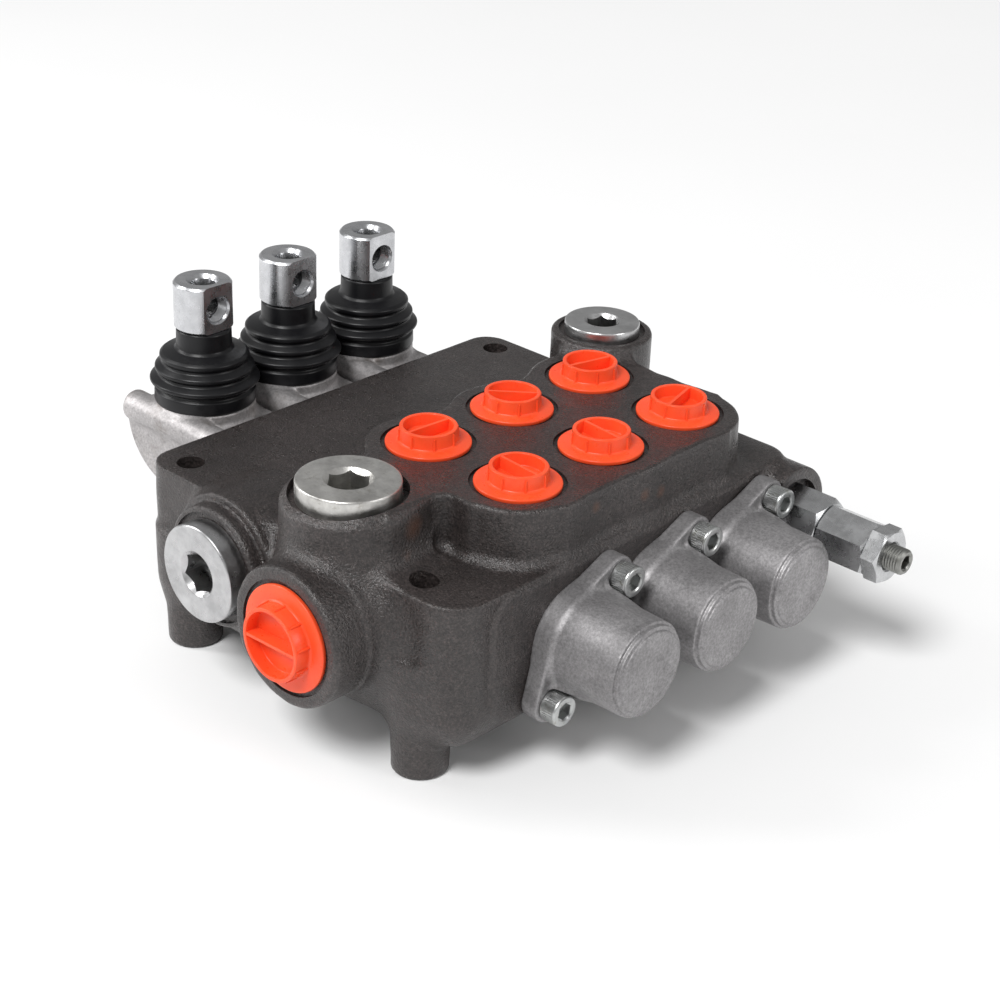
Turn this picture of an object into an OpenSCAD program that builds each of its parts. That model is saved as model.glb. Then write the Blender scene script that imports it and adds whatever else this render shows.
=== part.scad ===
// Three-spool monoblock directional valve for hydraulics.
// Origin: centre of the four mounting holes, on the plane of the feet. +Z up.
// +X: from the levers toward the spring caps. +Y: from the inlet toward the tank port.

/* [Body] */
// distance between neighbouring spools, mm
spool_pitch = 38; // [36:1:42]
// height of the spool axes above the feet, mm
spool_z = 40.5; // [38:0.5:44]
// height of the deck around the mounting holes, mm
deck_z = 64; // [60:1:68]
// height of the raised port face, mm
port_face_z = 82.5; // [78:0.5:88]
// height of the block's underside above the feet, mm
belly_z = 12; // [8:1:16]
// work port line nearest the levers, mm from the origin
port_a_x = 14; // [12:1:16]
// work port line nearest the spring caps, mm from the origin
port_b_x = 52; // [50:1:54]
// radius of the cast wall around each work port, mm
port_wall_r = 20; // [18:0.5:21]

/* [Mounting] */
// hole spacing across the valve, mm
hole_x = 106; // [100:1:110]
// hole spacing along the row of spools, mm
hole_y = 142; // [138:1:146]
// mounting hole diameter, mm
hole_d = 9; // [8.5:0.5:10]
// foot diameter, mm
foot_d = 17.8; // [16:0.2:18]

/* [Inlet and tank] */
// height of the side inlet axis, mm
inlet_z = 45.4; // [44:0.2:48]
// radius of the side inlet boss, mm
inlet_boss_r = 22.5; // [21:0.5:24]
// top plug and side plug head diameter, mm
large_plug_d = 32; // [30:1:34]
// tank plug head diameter, mm
small_plug_d = 26; // [24:1:28]

/* [Spools and levers] */
// spool diameter, mm
spool_d = 17.96; // [17.9:0.01:17.98]
// height of the lever ball above the feet, mm
ball_z = 57.5; // [56:0.5:59]
// lever ball diameter, mm
ball_d = 18; // [16:0.5:18]
// distance of the lever line from the origin, mm
lever_x = 94; // [92:1:96]
// diameter of the round lever block, mm
block_d = 20; // [18:1:22]
// height of the lever block, mm
block_h = 16.6; // [15:0.2:18]

/* [Spring caps] */
// outer diameter at the end of the cap, mm
cap_d = 30.8; // [29:0.2:32]
// length of the cap from the machined face, mm
cap_len = 32.5; // [31:0.5:34]
// thickness of the cap flange, mm
cap_flange = 6.5; // [6:0.5:8]

/* [Relief valve] */
// distance of the relief valve axis from the origin, mm
relief_y = 73.5; // [72:0.5:75]
// height of the relief valve axis, mm
relief_z = 45.8; // [45:0.2:47]
// adjusting screw diameter, mm
adjust_d = 8.8; // [8:0.2:10]

/* [Hidden] */
$fn = 48;
eps = 0.01;
face_x = 75.5;
lever_face_x = -67;
spool_y0 = -31;
inlet_x = 26.4;
inlet_face_y = -101.5;
top_in_x = 22;
top_in_y = -72.3;
side_plug_x = -18.6;
side_plug_z = 47;
side_plug_y = -93.5;
tank_x = -3.3;
tank_y = 71;
tank_face_z = 87;
relief_face_x = 82;
bolt_dy = 14.5;
bolt_dz = 16.5;
arm_dz = 15.5;
thread_clear = 0.05;
collar_x = 88.5;

iron = [0.29, 0.27, 0.26];
steel = [0.62, 0.62, 0.62];
zinc = [0.72, 0.73, 0.74];
casting = [0.60, 0.59, 0.61];
plastic = [0.96, 0.33, 0.16];
rubber = [0.07, 0.07, 0.07];

function spool_y(i) = spool_y0 + i * spool_pitch;

// cylinder along +X from x0 to x1
module rod_x(x0, x1, r, y = 0, z = 0)
  translate([x0, y, z]) rotate([0, 90, 0]) cylinder(r = r, h = x1 - x0);

// cylinder along +Y from y0 to y1
module rod_y(y0, y1, r, x = 0, z = 0)
  translate([x, y1, z]) rotate([90, 0, 0]) cylinder(r = r, h = y1 - y0);

// cylinder along +Z from z0 to z1
module rod_z(z0, z1, r, x = 0, y = 0)
  translate([x, y, z0]) cylinder(r = r, h = z1 - z0);

// solid of revolution about +X; points are [radius, x]
module turned_x(points, y = 0, z = 0)
  translate([0, y, z]) rotate([0, 90, 0]) rotate_extrude() polygon(points);

// six-sided bar along +Z, size across the flats
module hex_z(flats, h) cylinder(d = flats / cos(30), h = h, $fn = 6);

// wound wire along +Z with its ends inside the height
module coil(h, mean_r, wire_r, turns) {
  sides = 6;
  steps = round(turns * 18);
  points = [for (k = [0:steps]) for (j = [0:sides - 1])
    let (a = 360 * turns * k / steps, b = 360 * j / sides,
         rr = mean_r + wire_r * cos(b),
         zz = wire_r + (h - 2 * wire_r) * k / steps + wire_r * sin(b))
    [rr * cos(a), rr * sin(a), zz]];
  skin = [for (k = [0:steps - 1]) for (j = [0:sides - 1])
    let (p = k * sides + j, q = k * sides + (j + 1) % sides)
    each [[p, p + sides, q], [q, p + sides, q + sides]]];
  first = [[for (j = [0:sides - 1]) j]];
  last = [[for (j = [sides - 1:-1:0]) steps * sides + j]];
  polyhedron(points = points, faces = concat(skin, first, last), convexity = 8);
}

// ---- cast body -------------------------------------------------------------

module main_block()
  hull() {
    for (c = [[-56.5, -71, 9], [-56.5, 71, 9], [61.5, -67, 13], [65.5, 71, 9]])
      rod_z(belly_z + 7, deck_z, c[2], c[0], c[1], $fn = 40);
    for (c = [[-55, -66, 7], [-55, 66, 7], [59, -64, 9], [61, 66, 7]])
      rod_z(belly_z, belly_z + 1, c[2], c[0], c[1], $fn = 40);
  }

module port_face() {
  low = deck_z - 10;
  for (i = [0:2]) for (x = [port_a_x, port_b_x])
    rod_z(low, port_face_z, port_wall_r, x, spool_y(i));
  translate([port_a_x, spool_y(0) - port_wall_r + eps, low])
    cube([port_b_x - port_a_x, 2 * spool_pitch + 2 * port_wall_r - 2 * eps,
      port_face_z - low]);
  translate([0, spool_y(0), low])
    cube([port_b_x + port_wall_r - eps, 2 * spool_pitch, port_face_z - low]);
  translate([8, top_in_y, low])
    cube([33.5, 30, port_face_z - low]);
}

module bosses() {
  rod_z(30, port_face_z, 20.2, top_in_x, top_in_y);
  rod_z(30, tank_face_z, 17.5, tank_x, tank_y);
  rod_y(inlet_face_y, -60, inlet_boss_r, inlet_x, inlet_z);
  translate([inlet_x, -86, inlet_z]) rotate([-90, 0, 0])
    cylinder(r1 = inlet_boss_r, r2 = 26.5, h = 7);
  rod_y(side_plug_y, -70, 20, side_plug_x, side_plug_z);
  translate([side_plug_x, -84, side_plug_z]) rotate([-90, 0, 0])
    cylinder(r1 = 20, r2 = 22.5, h = 5);
  rod_x(40, relief_face_x, 17, relief_y, relief_z);
}

module machined_pads() {
  translate([70, -64, belly_z + 7.5]) cube([face_x - 70, 128, 43]);
  translate([lever_face_x, -52, 21]) cube([8, 116, 41.5]);
}

module feet()
  for (x = [-1, 1], y = [-1, 1])
    rod_z(0, 40, foot_d / 2, x * hole_x / 2, y * hole_y / 2);

module work_port_cavities()
  for (i = [0:2]) for (x = [port_a_x, port_b_x]) {
    rod_z(port_face_z - 1, port_face_z + 1, 15, x, spool_y(i));
    rod_z(66, port_face_z, 9.5, x, spool_y(i));
    rod_z(spool_z, 67, 6.5, x, spool_y(i));
  }

module spool_cavities()
  for (i = [0:2]) {
    rod_x(-70, 80, 9, spool_y(i), spool_z);
    rod_x(-70, -64, 12, spool_y(i), spool_z);
    rod_x(72.5, 80, 12, spool_y(i), spool_z);
    for (s = [-1, 1]) {
      rod_x(60, 80, 3 + thread_clear, spool_y(i) + s * bolt_dy, spool_z + s * bolt_dz);
      rod_x(-70, -54, 2.5 + thread_clear, spool_y(i) - s * bolt_dy, spool_z + s * arm_dz);
    }
  }

module inlet_cavities() {
  // top inlet under its plug
  rod_z(port_face_z - 1, port_face_z + 1, 18.2, top_in_x, top_in_y);
  rod_z(62, port_face_z, 13.1, top_in_x, top_in_y);
  rod_z(inlet_z, 63, 9, top_in_x, top_in_y);
  // side inlet and the pressure gallery behind it
  rod_y(inlet_face_y - 1, inlet_face_y + 1, 18.5, inlet_x, inlet_z);
  rod_y(inlet_face_y, -82, 13.1, inlet_x, inlet_z);
  rod_y(-83, 62, 8, inlet_x, inlet_z);
  // check valve chamber behind the side plug, and the bypass gallery
  rod_y(side_plug_y - 1, side_plug_y + 1, 18.2, side_plug_x, side_plug_z);
  rod_y(side_plug_y, -76, 13.1, side_plug_x, side_plug_z);
  rod_y(-77, -58, 9, side_plug_x, side_plug_z);
  rod_y(-59, 66, 6, side_plug_x, side_plug_z);
  rod_x(side_plug_x, inlet_x, 5, -67, side_plug_z);
}

module tank_cavities() {
  rod_z(tank_face_z - 1, tank_face_z + 1, 15, tank_x, tank_y);
  rod_z(71, tank_face_z, 10.6, tank_x, tank_y);
  rod_z(26, 72, 7, tank_x, tank_y);
  rod_y(-42, tank_y, 7, tank_x, 26);
  rod_x(side_plug_x, tank_x, 5, 62, side_plug_z);
}

// room in the relief boss for the flange of the nearest spring cap
module flange_room() {
  rod_x(face_x, relief_face_x + 1, 16.8, spool_y(2), spool_z);
  rod_x(face_x, relief_face_x + 1, 6.7, spool_y(2) + bolt_dy, spool_z + bolt_dz);
  translate([face_x, spool_y(2), spool_z])
    rotate([90, 0, 90]) rotate([0, 0, atan2(bolt_dz, bolt_dy)])
      linear_extrude(relief_face_x + 1 - face_x)
        polygon([[0, -15], [7.1, -14.57], [24.85, -6], [24.85, 6], [7.1, 14.57], [0, 15]]);
}

module relief_cavities() {
  flange_room();
  rod_x(relief_face_x - 3, relief_face_x + 1, 13, relief_y, relief_z);
  rod_x(66, relief_face_x, 8 + thread_clear, relief_y, relief_z);
  rod_x(60.5, 67, 6, relief_y, relief_z);
  // pressure feed from the gallery
  rod_y(57, relief_y, 3.4, 63.7, relief_z);
  rod_x(inlet_x, 65.5, 3, 60, relief_z);
  // return to the tank gallery
  rod_z(24, relief_z, 2.4, 72, relief_y);
  rod_y(58.5, relief_y + 1.5, 2.8, 72, 26);
  rod_x(tank_x, 73.5, 2.2, 61, 26);
}

module valve_body()
  color(iron) difference() {
    union() {
      main_block();
      port_face();
      bosses();
      machined_pads();
      feet();
    }
    for (x = [-1, 1], y = [-1, 1])
      rod_z(-1, deck_z + 1, hole_d / 2, x * hole_x / 2, y * hole_y / 2);
    work_port_cavities();
    spool_cavities();
    inlet_cavities();
    tank_cavities();
    relief_cavities();
  }

// ---- spools and centring springs ---------------------------------------------

module spool(i) {
  r = spool_d / 2;
  color(steel) difference() {
    turned_x([[0, -104], [r - 0.6, -104], [r, -103.4], [r, -9], [6.2, -9], [6.2, 2],
      [r, 2], [r, 21], [6.2, 21], [6.2, 32], [r, 32], [r, 58], [6.2, 58], [6.2, 64],
      [r, 64], [r, 77.4], [r - 0.6, 78], [0, 78]], spool_y(i), spool_z);
    rod_z(spool_z - 6, spool_z + 12, 4.8, -lever_x, spool_y(i));
    translate([-lever_x - 7.5, spool_y(i) - 4.8, spool_z + 2.5]) cube([15, 9.6, 10]);
    // flat under the lever ball
    translate([-105, spool_y(i) - 10, spool_z + 7.5]) cube([27, 20, 4]);
    rod_x(62, 79, 4 + thread_clear, spool_y(i), spool_z);
  }
}

module spool_collar(i)
  color(steel) difference() {
    turned_x([[0, 64], [3.5, 64], [4, 64.5], [4, 78.05], [6.5, 78.05], [6.5, collar_x],
      [11.4, collar_x], [11.4, collar_x + 3], [6, collar_x + 3], [6, collar_x + 7.5],
      [5.5, collar_x + 8], [0, collar_x + 8]], spool_y(i), spool_z);
    translate([collar_x + 5, spool_y(i), spool_z]) rotate([0, 90, 0]) hex_z(5, 4);
  }

module centring_coil(x0, x1, i)
  color(steel) translate([x0, spool_y(i), spool_z]) rotate([0, 90, 0])
    coil(x1 - x0, 10.35, 0.75, 3.5);

module spring_seats()
  color(zinc) for (i = [0:2])
    turned_x([[9.3, face_x + 0.1], [12, face_x + 0.1], [12, face_x + 1.6],
      [9.3, face_x + 1.6]], spool_y(i), spool_z);

module spool_seals()
  color(rubber) for (i = [0:2]) for (x = [-66.8, 72.7])
    turned_x([[9.3, x], [11.95, x], [11.95, x + 2.6], [9.3, x + 2.6]],
      spool_y(i), spool_z);

// ---- spring caps -----------------------------------------------------------

module spring_cap(i) {
  end_x = face_x + cap_len;
  flange_x = face_x + cap_flange;
  color(casting) translate([0, spool_y(i), spool_z]) difference() {
    union() {
      hull() {
        rod_x(face_x, flange_x, 15.8, $fn = 40);
        for (s = [-1, 1])
          rod_x(face_x, flange_x, 6.2, s * bolt_dy, s * bolt_dz, $fn = 32);
      }
      turned_x([[0, face_x], [16.4, face_x], [cap_d / 2, end_x - 1.4],
        [cap_d / 2 - 0.5, end_x - 0.9], [cap_d / 2 - 1.6, end_x - 0.9],
        [cap_d / 2 - 2.1, end_x], [0, end_x]]);
      // webs from the flange lugs to the barrel
      for (s = [-1, 1])
        hull() {
          rod_x(face_x + 1, flange_x, 3.4, s * 12.5, s * 14.2, $fn = 16);
          rod_x(face_x + 1, face_x + 17, 2.4, s * 8, s * 9.2, $fn = 16);
        }
    }
    rod_x(face_x - 1, end_x - 5.4, 12.3);
    for (s = [-1, 1]) {
      rod_x(face_x - 1, flange_x + 1, 3.3, s * bolt_dy, s * bolt_dz);
      rod_x(flange_x, flange_x + 12, 5.4, s * bolt_dy, s * bolt_dz);
    }
  }
}

module socket_screw(d, head_d, head_h, len, flats)
  difference() {
    union() {
      cylinder(d = d, h = len + eps);
      translate([0, 0, len]) cylinder(d = head_d, h = head_h - 0.5);
      translate([0, 0, len + head_h - 0.5])
        cylinder(d1 = head_d, d2 = head_d - 1, h = 0.5);
    }
    translate([0, 0, len + head_h - flats * 0.6]) hex_z(flats, flats);
  }

module cap_screws()
  color(zinc) for (i = [0:2]) for (s = [-1, 1])
    translate([face_x + cap_flange - 18, spool_y(i) + s * bolt_dy, spool_z + s * bolt_dz])
      rotate([0, 90, 0]) socket_screw(6, 10, 6, 18, 5);

// ---- lever side --------------------------------------------------------------

module lever_housing(i) {
  nose_x = -lever_x;
  color(casting) translate([0, spool_y(i), 0]) difference() {
    union() {
      // round-nosed body, seen from the side
      translate([0, 16.5, 0]) rotate([90, 0, 0]) linear_extrude(33)
        intersection() {
          union() {
            translate([nose_x, 54]) circle(r = 23.2, $fn = 72);
            translate([nose_x, 27]) square([lever_face_x - nose_x, 60]);
          }
          translate([nose_x - 30, 27]) square([lever_face_x - nose_x + 30, 29.5]);
        }
      rod_x(-110, lever_face_x, 12.8, 0, spool_z);
      rod_z(45, 61.5, 17.2, nose_x, 0);
      rod_z(61, 66, 15.2, nose_x, 0);
      for (s = [-1, 1])
        rod_x(-115, lever_face_x, 5.4, -s * bolt_dy, spool_z + s * arm_dz);
    }
    rod_x(-109.5, lever_face_x + 1, 10.6, 0, spool_z);
    rod_z(spool_z, 52, 7.2, nose_x, 0);
    translate([nose_x, 0, ball_z]) sphere(r = ball_d / 2 + 0.3);
    rod_z(ball_z + 1, 67, 11, nose_x, 0);
    for (s = [-1, 1]) {
      rod_x(-116, lever_face_x + 1, 2.75, -s * bolt_dy, spool_z + s * arm_dz);
      rod_x(-116, -109.5, 4.5, -s * bolt_dy, spool_z + s * arm_dz);
    }
  }
}

module housing_screws()
  color(zinc) for (i = [0:2]) for (s = [-1, 1])
    translate([-55, spool_y(i) - s * bolt_dy, spool_z + s * arm_dz])
      rotate([0, -90, 0]) socket_screw(5, 8.5, 5, 54.5, 4);

module ball_retainers()
  color(steel) for (i = [0:2])
    translate([-lever_x, spool_y(i), 0]) difference() {
      rod_z(ball_z + 1.2, 65.8, 10.95);
      translate([0, 0, ball_z]) sphere(r = ball_d / 2 + 0.3);
      translate([0, 0, ball_z + 3.6]) cylinder(r1 = 8.15, r2 = 9.5, h = 5);
    }

module lever_stem(i)
  color(steel) translate([-lever_x, spool_y(i), 0]) {
    rod_z(spool_z, ball_z, 3);
    translate([0, 0, spool_z]) sphere(d = 9);
    translate([0, 0, ball_z]) sphere(d = ball_d);
    rod_z(ball_z, 87.8, 6);
    rod_z(87, 93, 3.4);
  }

module lever_block(i) {
  top = 87.9 + block_h;
  mid = 95.6;
  color(zinc) translate([-lever_x, spool_y(i), 0]) difference() {
    union() {
      rod_z(88.6, top - 0.8, block_d / 2);
      translate([0, 0, top - 0.8])
        cylinder(r1 = block_d / 2, r2 = block_d / 2 - 0.8, h = 0.8);
      translate([0, 0, 87.9])
        cylinder(r1 = block_d / 2 - 0.7, r2 = block_d / 2, h = 0.7 + eps);
    }
    translate([7.9, -12, 87]) cube([5, 24, 20]);
    rod_z(87, 93.2, 3.4 + thread_clear);
    rod_z(94.2, top + 1, 4.25);
    translate([0, 0, top - 1]) cylinder(r1 = 4.25, r2 = 5.4, h = 1.2);
    rod_x(0, 9, 3.1, 0, mid);
    rod_x(7.1, 9, 4.4, 0, mid);
  }
}

module lever_boot(i)
  color(rubber) translate([-lever_x, spool_y(i), 0]) rotate_extrude()
    polygon([[15.3, 61.6], [17.7, 61.6], [17.9, 62.2], [17.9, 65.6], [17.2, 66.6],
      [17.3, 67.6], [18.6, 68.6], [18.8, 69.6], [18.2, 70.8], [16.6, 71.9],
      [16.3, 72.7], [17.2, 73.6], [17.5, 74.8], [16.9, 76.2], [15.2, 77.2],
      [15, 78], [14.9, 79.4], [14, 80.6], [10.6, 81.3], [9.4, 82.2], [9.4, 87.2],
      [8.9, 87.7], [6.1, 87.7], [6.1, 80.6], [12.4, 79.3], [13.2, 78.4], [13.4, 76.4],
      [15.2, 75.1], [15.4, 74.3], [14.5, 73.2], [14.5, 71.9], [16.4, 70.3],
      [16.8, 69.4], [16.2, 68.6], [15.4, 68], [15.3, 66.4]]);

// ---- port closures -------------------------------------------------------------

// plastic closure: flange on z = 0, grip ring above, hollow plug below
module plastic_cap(flange_r, ring_r, plug_r, plug_len, bar_angle, ring_h) {
  difference() {
    union() {
      cylinder(r = flange_r, h = 1.7);
      translate([0, 0, 1.6]) cylinder(r1 = ring_r + 0.2, r2 = ring_r, h = ring_h - 1.6);
      translate([0, 0, -plug_len]) cylinder(r1 = plug_r - 0.3, r2 = plug_r, h = plug_len + eps);
    }
    translate([0, 0, 2.4]) cylinder(r = ring_r - 1.3, h = ring_h);
    translate([0, 0, -plug_len - 1]) cylinder(r = plug_r - 1.5, h = plug_len + 1);
  }
  rotate([0, 0, bar_angle]) translate([-ring_r + 0.6, -0.5, 1.5])
    cube([2 * ring_r - 1.2, 1, ring_h - 1.6]);
}

module work_port_caps() {
  turn_a = [85, 43, 76];
  turn_b = [-4, -7, 105];
  color(plastic) for (i = [0:2]) {
    translate([port_a_x, spool_y(i), port_face_z - 1])
      plastic_cap(13.5, 9.1, 9.4, 10, turn_a[i], 6.6);
    translate([port_b_x, spool_y(i), port_face_z - 1])
      plastic_cap(13.5, 9.1, 9.4, 10, turn_b[i], 6.6);
  }
}

module inlet_port_cap()
  color(plastic) translate([inlet_x, inlet_face_y + 1, inlet_z]) rotate([90, 0, 0])
    plastic_cap(17, 11.7, 13, 12, 2, 7);

// steel plug: seat on z = 0, head above, thread below
module steel_plug(head_d, head_h, thread_r, thread_len, flats, turn)
  difference() {
    union() {
      cylinder(d = head_d, h = head_h - 0.8);
      translate([0, 0, head_h - 0.8]) cylinder(d1 = head_d, d2 = head_d - 1.6, h = 0.8);
      translate([0, 0, -thread_len]) cylinder(r = thread_r, h = thread_len + eps);
    }
    translate([0, 0, head_h - flats * 0.75]) rotate([0, 0, turn]) hex_z(flats, flats);
    translate([0, 0, head_h - 1.2])
      cylinder(r1 = flats * 0.52, r2 = flats * 0.65, h = 1.2 + eps);
  }

module inlet_top_plug()
  color(steel) translate([top_in_x, top_in_y, port_face_z - 1])
    steel_plug(large_plug_d, 5, 13, 14, 12, 12);

module inlet_side_plug()
  color(steel) translate([side_plug_x, side_plug_y + 1, side_plug_z]) rotate([90, 0, 0])
    steel_plug(large_plug_d, 5, 13, 14, 12, 20);

module tank_plug()
  color(steel) translate([tank_x, tank_y, tank_face_z - 1])
    steel_plug(small_plug_d, 4.4, 10.5, 13, 10, 15);

// ---- check valve -----------------------------------------------------------------

module check_poppet()
  color(steel) translate([side_plug_x, -58.1, side_plug_z]) rotate([90, 0, 0])
    rotate_extrude() polygon([[0, -2.6], [3.4, -2.6], [7.4, 1.6], [8.6, 1.6], [8.6, 6],
      [5, 6], [5, 9], [4.5, 9.5], [0, 9.5]]);

module check_spring()
  color(steel) translate([side_plug_x, -64.2, side_plug_z]) rotate([90, 0, 0])
    coil(14.2, 6.4, 0.6, 4.5);

// ---- relief valve ----------------------------------------------------------------

module on_relief_axis(x) translate([x, relief_y, relief_z]) rotate([0, 90, 0]) children();

module relief_body()
  color(zinc) difference() {
    union() {
      on_relief_axis(79.05) rotate([0, 0, 41]) hex_z(19, 17.4);
      on_relief_axis(66.5) cylinder(r = 8, h = 13);
    }
    on_relief_axis(66) cylinder(r = 2.2, h = 10);
    on_relief_axis(69) cylinder(r = 4.6, h = 30);
    on_relief_axis(90) cylinder(r = 7 + thread_clear, h = 10);
    rod_z(relief_z - 9, relief_z - 3, 1.8, 72, relief_y);
  }

module relief_cap()
  color(zinc) difference() {
    union() {
      on_relief_axis(96.5) rotate([0, 0, 3.5]) hex_z(17, 18.7);
      on_relief_axis(90.1) cylinder(r = 7, h = 7);
    }
    on_relief_axis(89) cylinder(r = 4.8, h = 15.2);
    on_relief_axis(103) cylinder(r = adjust_d / 2 + thread_clear, h = 13);
  }

module relief_locknut()
  color(zinc) difference() {
    intersection() {
      on_relief_axis(115.3) rotate([0, 0, 24]) hex_z(17, 5.7);
      turned_x([[0, 115], [9.5, 115], [9.5, 119.6], [8.4, 121], [0, 121]],
        relief_y, relief_z);
    }
    on_relief_axis(115) cylinder(r = adjust_d / 2 + thread_clear, h = 7);
  }

module relief_screw()
  color(steel) difference() {
    turned_x([[0, 101.6], [adjust_d / 2 - 0.5, 101.6], [adjust_d / 2, 102.1],
      [adjust_d / 2, 126.1], [adjust_d / 2 - 0.7, 126.8], [0, 126.8]],
      relief_y, relief_z);
    on_relief_axis(123.3) rotate([0, 0, 10]) hex_z(4.5, 5);
  }

module relief_spring_seat()
  color(steel) turned_x([[0, 96], [1.8, 96], [1.8, 98.6], [4.3, 98.6], [4.3, 101.55],
    [0, 101.55]], relief_y, relief_z);

module relief_spring()
  color(steel) on_relief_axis(77.3) coil(21.2, 3.2, 0.6, 7);

module relief_poppet()
  color(steel) turned_x([[0, 68.4], [1.6, 68.4], [3.2, 71.2], [4.3, 71.2], [4.3, 77.2],
    [1.9, 77.2], [1.9, 80], [0, 80]], relief_y, relief_z);

// ---- named pieces ----------------------------------------------------------------

module spool_1() { spool(0); }
module spool_2() { spool(1); }
module spool_3() { spool(2); }
module spool_collar_1() { spool_collar(0); }
module spool_collar_2() { spool_collar(1); }
module spool_collar_3() { spool_collar(2); }
module inner_spring_1() { centring_coil(face_x + 1.7, collar_x - 0.1, 0); }
module inner_spring_2() { centring_coil(face_x + 1.7, collar_x - 0.1, 1); }
module inner_spring_3() { centring_coil(face_x + 1.7, collar_x - 0.1, 2); }
module outer_spring_1() { centring_coil(collar_x + 3.1, face_x + cap_len - 5.5, 0); }
module outer_spring_2() { centring_coil(collar_x + 3.1, face_x + cap_len - 5.5, 1); }
module outer_spring_3() { centring_coil(collar_x + 3.1, face_x + cap_len - 5.5, 2); }
module spring_cap_1() { spring_cap(0); }
module spring_cap_2() { spring_cap(1); }
module spring_cap_3() { spring_cap(2); }
module lever_housing_1() { lever_housing(0); }
module lever_housing_2() { lever_housing(1); }
module lever_housing_3() { lever_housing(2); }
module lever_stem_1() { lever_stem(0); }
module lever_stem_2() { lever_stem(1); }
module lever_stem_3() { lever_stem(2); }
module lever_block_1() { lever_block(0); }
module lever_block_2() { lever_block(1); }
module lever_block_3() { lever_block(2); }
module lever_boot_1() { lever_boot(0); }
module lever_boot_2() { lever_boot(1); }
module lever_boot_3() { lever_boot(2); }

valve_body();
spool_1();
spool_2();
spool_3();
spool_collar_1();
spool_collar_2();
spool_collar_3();
inner_spring_1();
inner_spring_2();
inner_spring_3();
outer_spring_1();
outer_spring_2();
outer_spring_3();
spring_seats();
spool_seals();
spring_cap_1();
spring_cap_2();
spring_cap_3();
cap_screws();
lever_housing_1();
lever_housing_2();
lever_housing_3();
housing_screws();
ball_retainers();
lever_stem_1();
lever_stem_2();
lever_stem_3();
lever_block_1();
lever_block_2();
lever_block_3();
lever_boot_1();
lever_boot_2();
lever_boot_3();
work_port_caps();
inlet_port_cap();
inlet_top_plug();
inlet_side_plug();
tank_plug();
check_poppet();
check_spring();
relief_body();
relief_cap();
relief_locknut();
relief_screw();
relief_spring_seat();
relief_spring();
relief_poppet();
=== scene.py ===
"""Three-spool monoblock hydraulic valve: the looks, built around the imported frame.

Lengths in the shape code are millimetres in the row's frame; meshes are written in metres.
"""

import math

import bmesh
import bpy
import numpy as np
from mathutils import Matrix, Vector


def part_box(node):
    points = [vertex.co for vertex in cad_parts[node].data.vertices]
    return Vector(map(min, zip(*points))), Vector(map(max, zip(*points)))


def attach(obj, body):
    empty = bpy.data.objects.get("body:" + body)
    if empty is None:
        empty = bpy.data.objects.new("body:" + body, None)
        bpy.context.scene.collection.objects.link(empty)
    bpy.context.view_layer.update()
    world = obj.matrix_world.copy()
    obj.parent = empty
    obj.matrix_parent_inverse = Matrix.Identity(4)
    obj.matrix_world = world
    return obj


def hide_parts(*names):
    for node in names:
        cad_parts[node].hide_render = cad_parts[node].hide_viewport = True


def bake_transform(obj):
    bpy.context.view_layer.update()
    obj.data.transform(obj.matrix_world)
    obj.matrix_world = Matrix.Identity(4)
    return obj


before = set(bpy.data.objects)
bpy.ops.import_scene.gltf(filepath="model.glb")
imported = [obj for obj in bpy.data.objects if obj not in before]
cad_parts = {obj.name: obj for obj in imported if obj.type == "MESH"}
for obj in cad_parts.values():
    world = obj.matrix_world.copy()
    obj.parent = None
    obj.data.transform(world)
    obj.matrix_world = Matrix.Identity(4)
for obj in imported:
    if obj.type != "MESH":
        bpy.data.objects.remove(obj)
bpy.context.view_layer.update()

MM = 0.001


def corners(node):
    """A CAD node's lowest and highest corners in mm."""
    return [tuple(round(v / MM, 1) for v in corner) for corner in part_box(node)]


def middle(node):
    """The centre of a CAD node's box in mm."""
    return tuple(round((a + b) / 2 / MM, 1) for a, b in zip(*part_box(node)))


# where things are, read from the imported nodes
SPOOL_Y = tuple(middle(f"spool_{i}")[1] for i in (1, 2, 3))
SPOOL_Z = middle("spool_1")[2]
FACE_X = corners("spring_cap_1")[0][0]
LEVER_X = middle("lever_boot_1")[0]
TOP_IN = middle("inlet_top_plug")[:2]
TANK = middle("tank_plug")[:2]
INLET = middle("inlet_port_cap")[::2]
SIDE_PLUG = middle("inlet_side_plug")[::2]
RELIEF = middle("relief_body")[1:]
PORT_Z = corners("inlet_top_plug")[1][2] - 4.0  # the plug stands 4 mm above the port face

# what the nodes' boxes don't say
DECK_Z = 64.0  # the lower deck
BACK_X = -67.0  # the face that the lever housings sit on
FOOT = (53.0, 71.0)  # the mounting holes, either side of the origin
PORT_X = (14.0, 52.0)  # the work ports along a spool
LUG = (14.5, 16.5)  # a spring cap's screw, from the spool in y and z
ARM_DZ = 15.5  # a housing screw, from the spool in z
CAP_FLANGE = 6.5  # the thickness of a spring cap's flange
HOUSING_SCREW_X = -109.5  # the seats of the housing screws
TOP_SEAT_Z = PORT_Z - 2.8  # the seats of the plugs and of the side inlet's closure
SIDE_SEAT_Y = -90.5
TANK_SEAT_Z = 86.0
INLET_SEAT_Y = -100.5
CROSS_Z = 95.6  # the hole across a lever block

SIN_45 = 0.7071
TAN_30 = 0.5774
ON_AXIS = 1e-6  # a smaller radius is a point on the axis
STRAIGHT = math.radians(176)  # a corner this open isn't rounded
NEVER_FLAT = 1e6  # for smooth(): no face is this large

# ---- signed distances on a grid ----------------------------------------------


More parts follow.
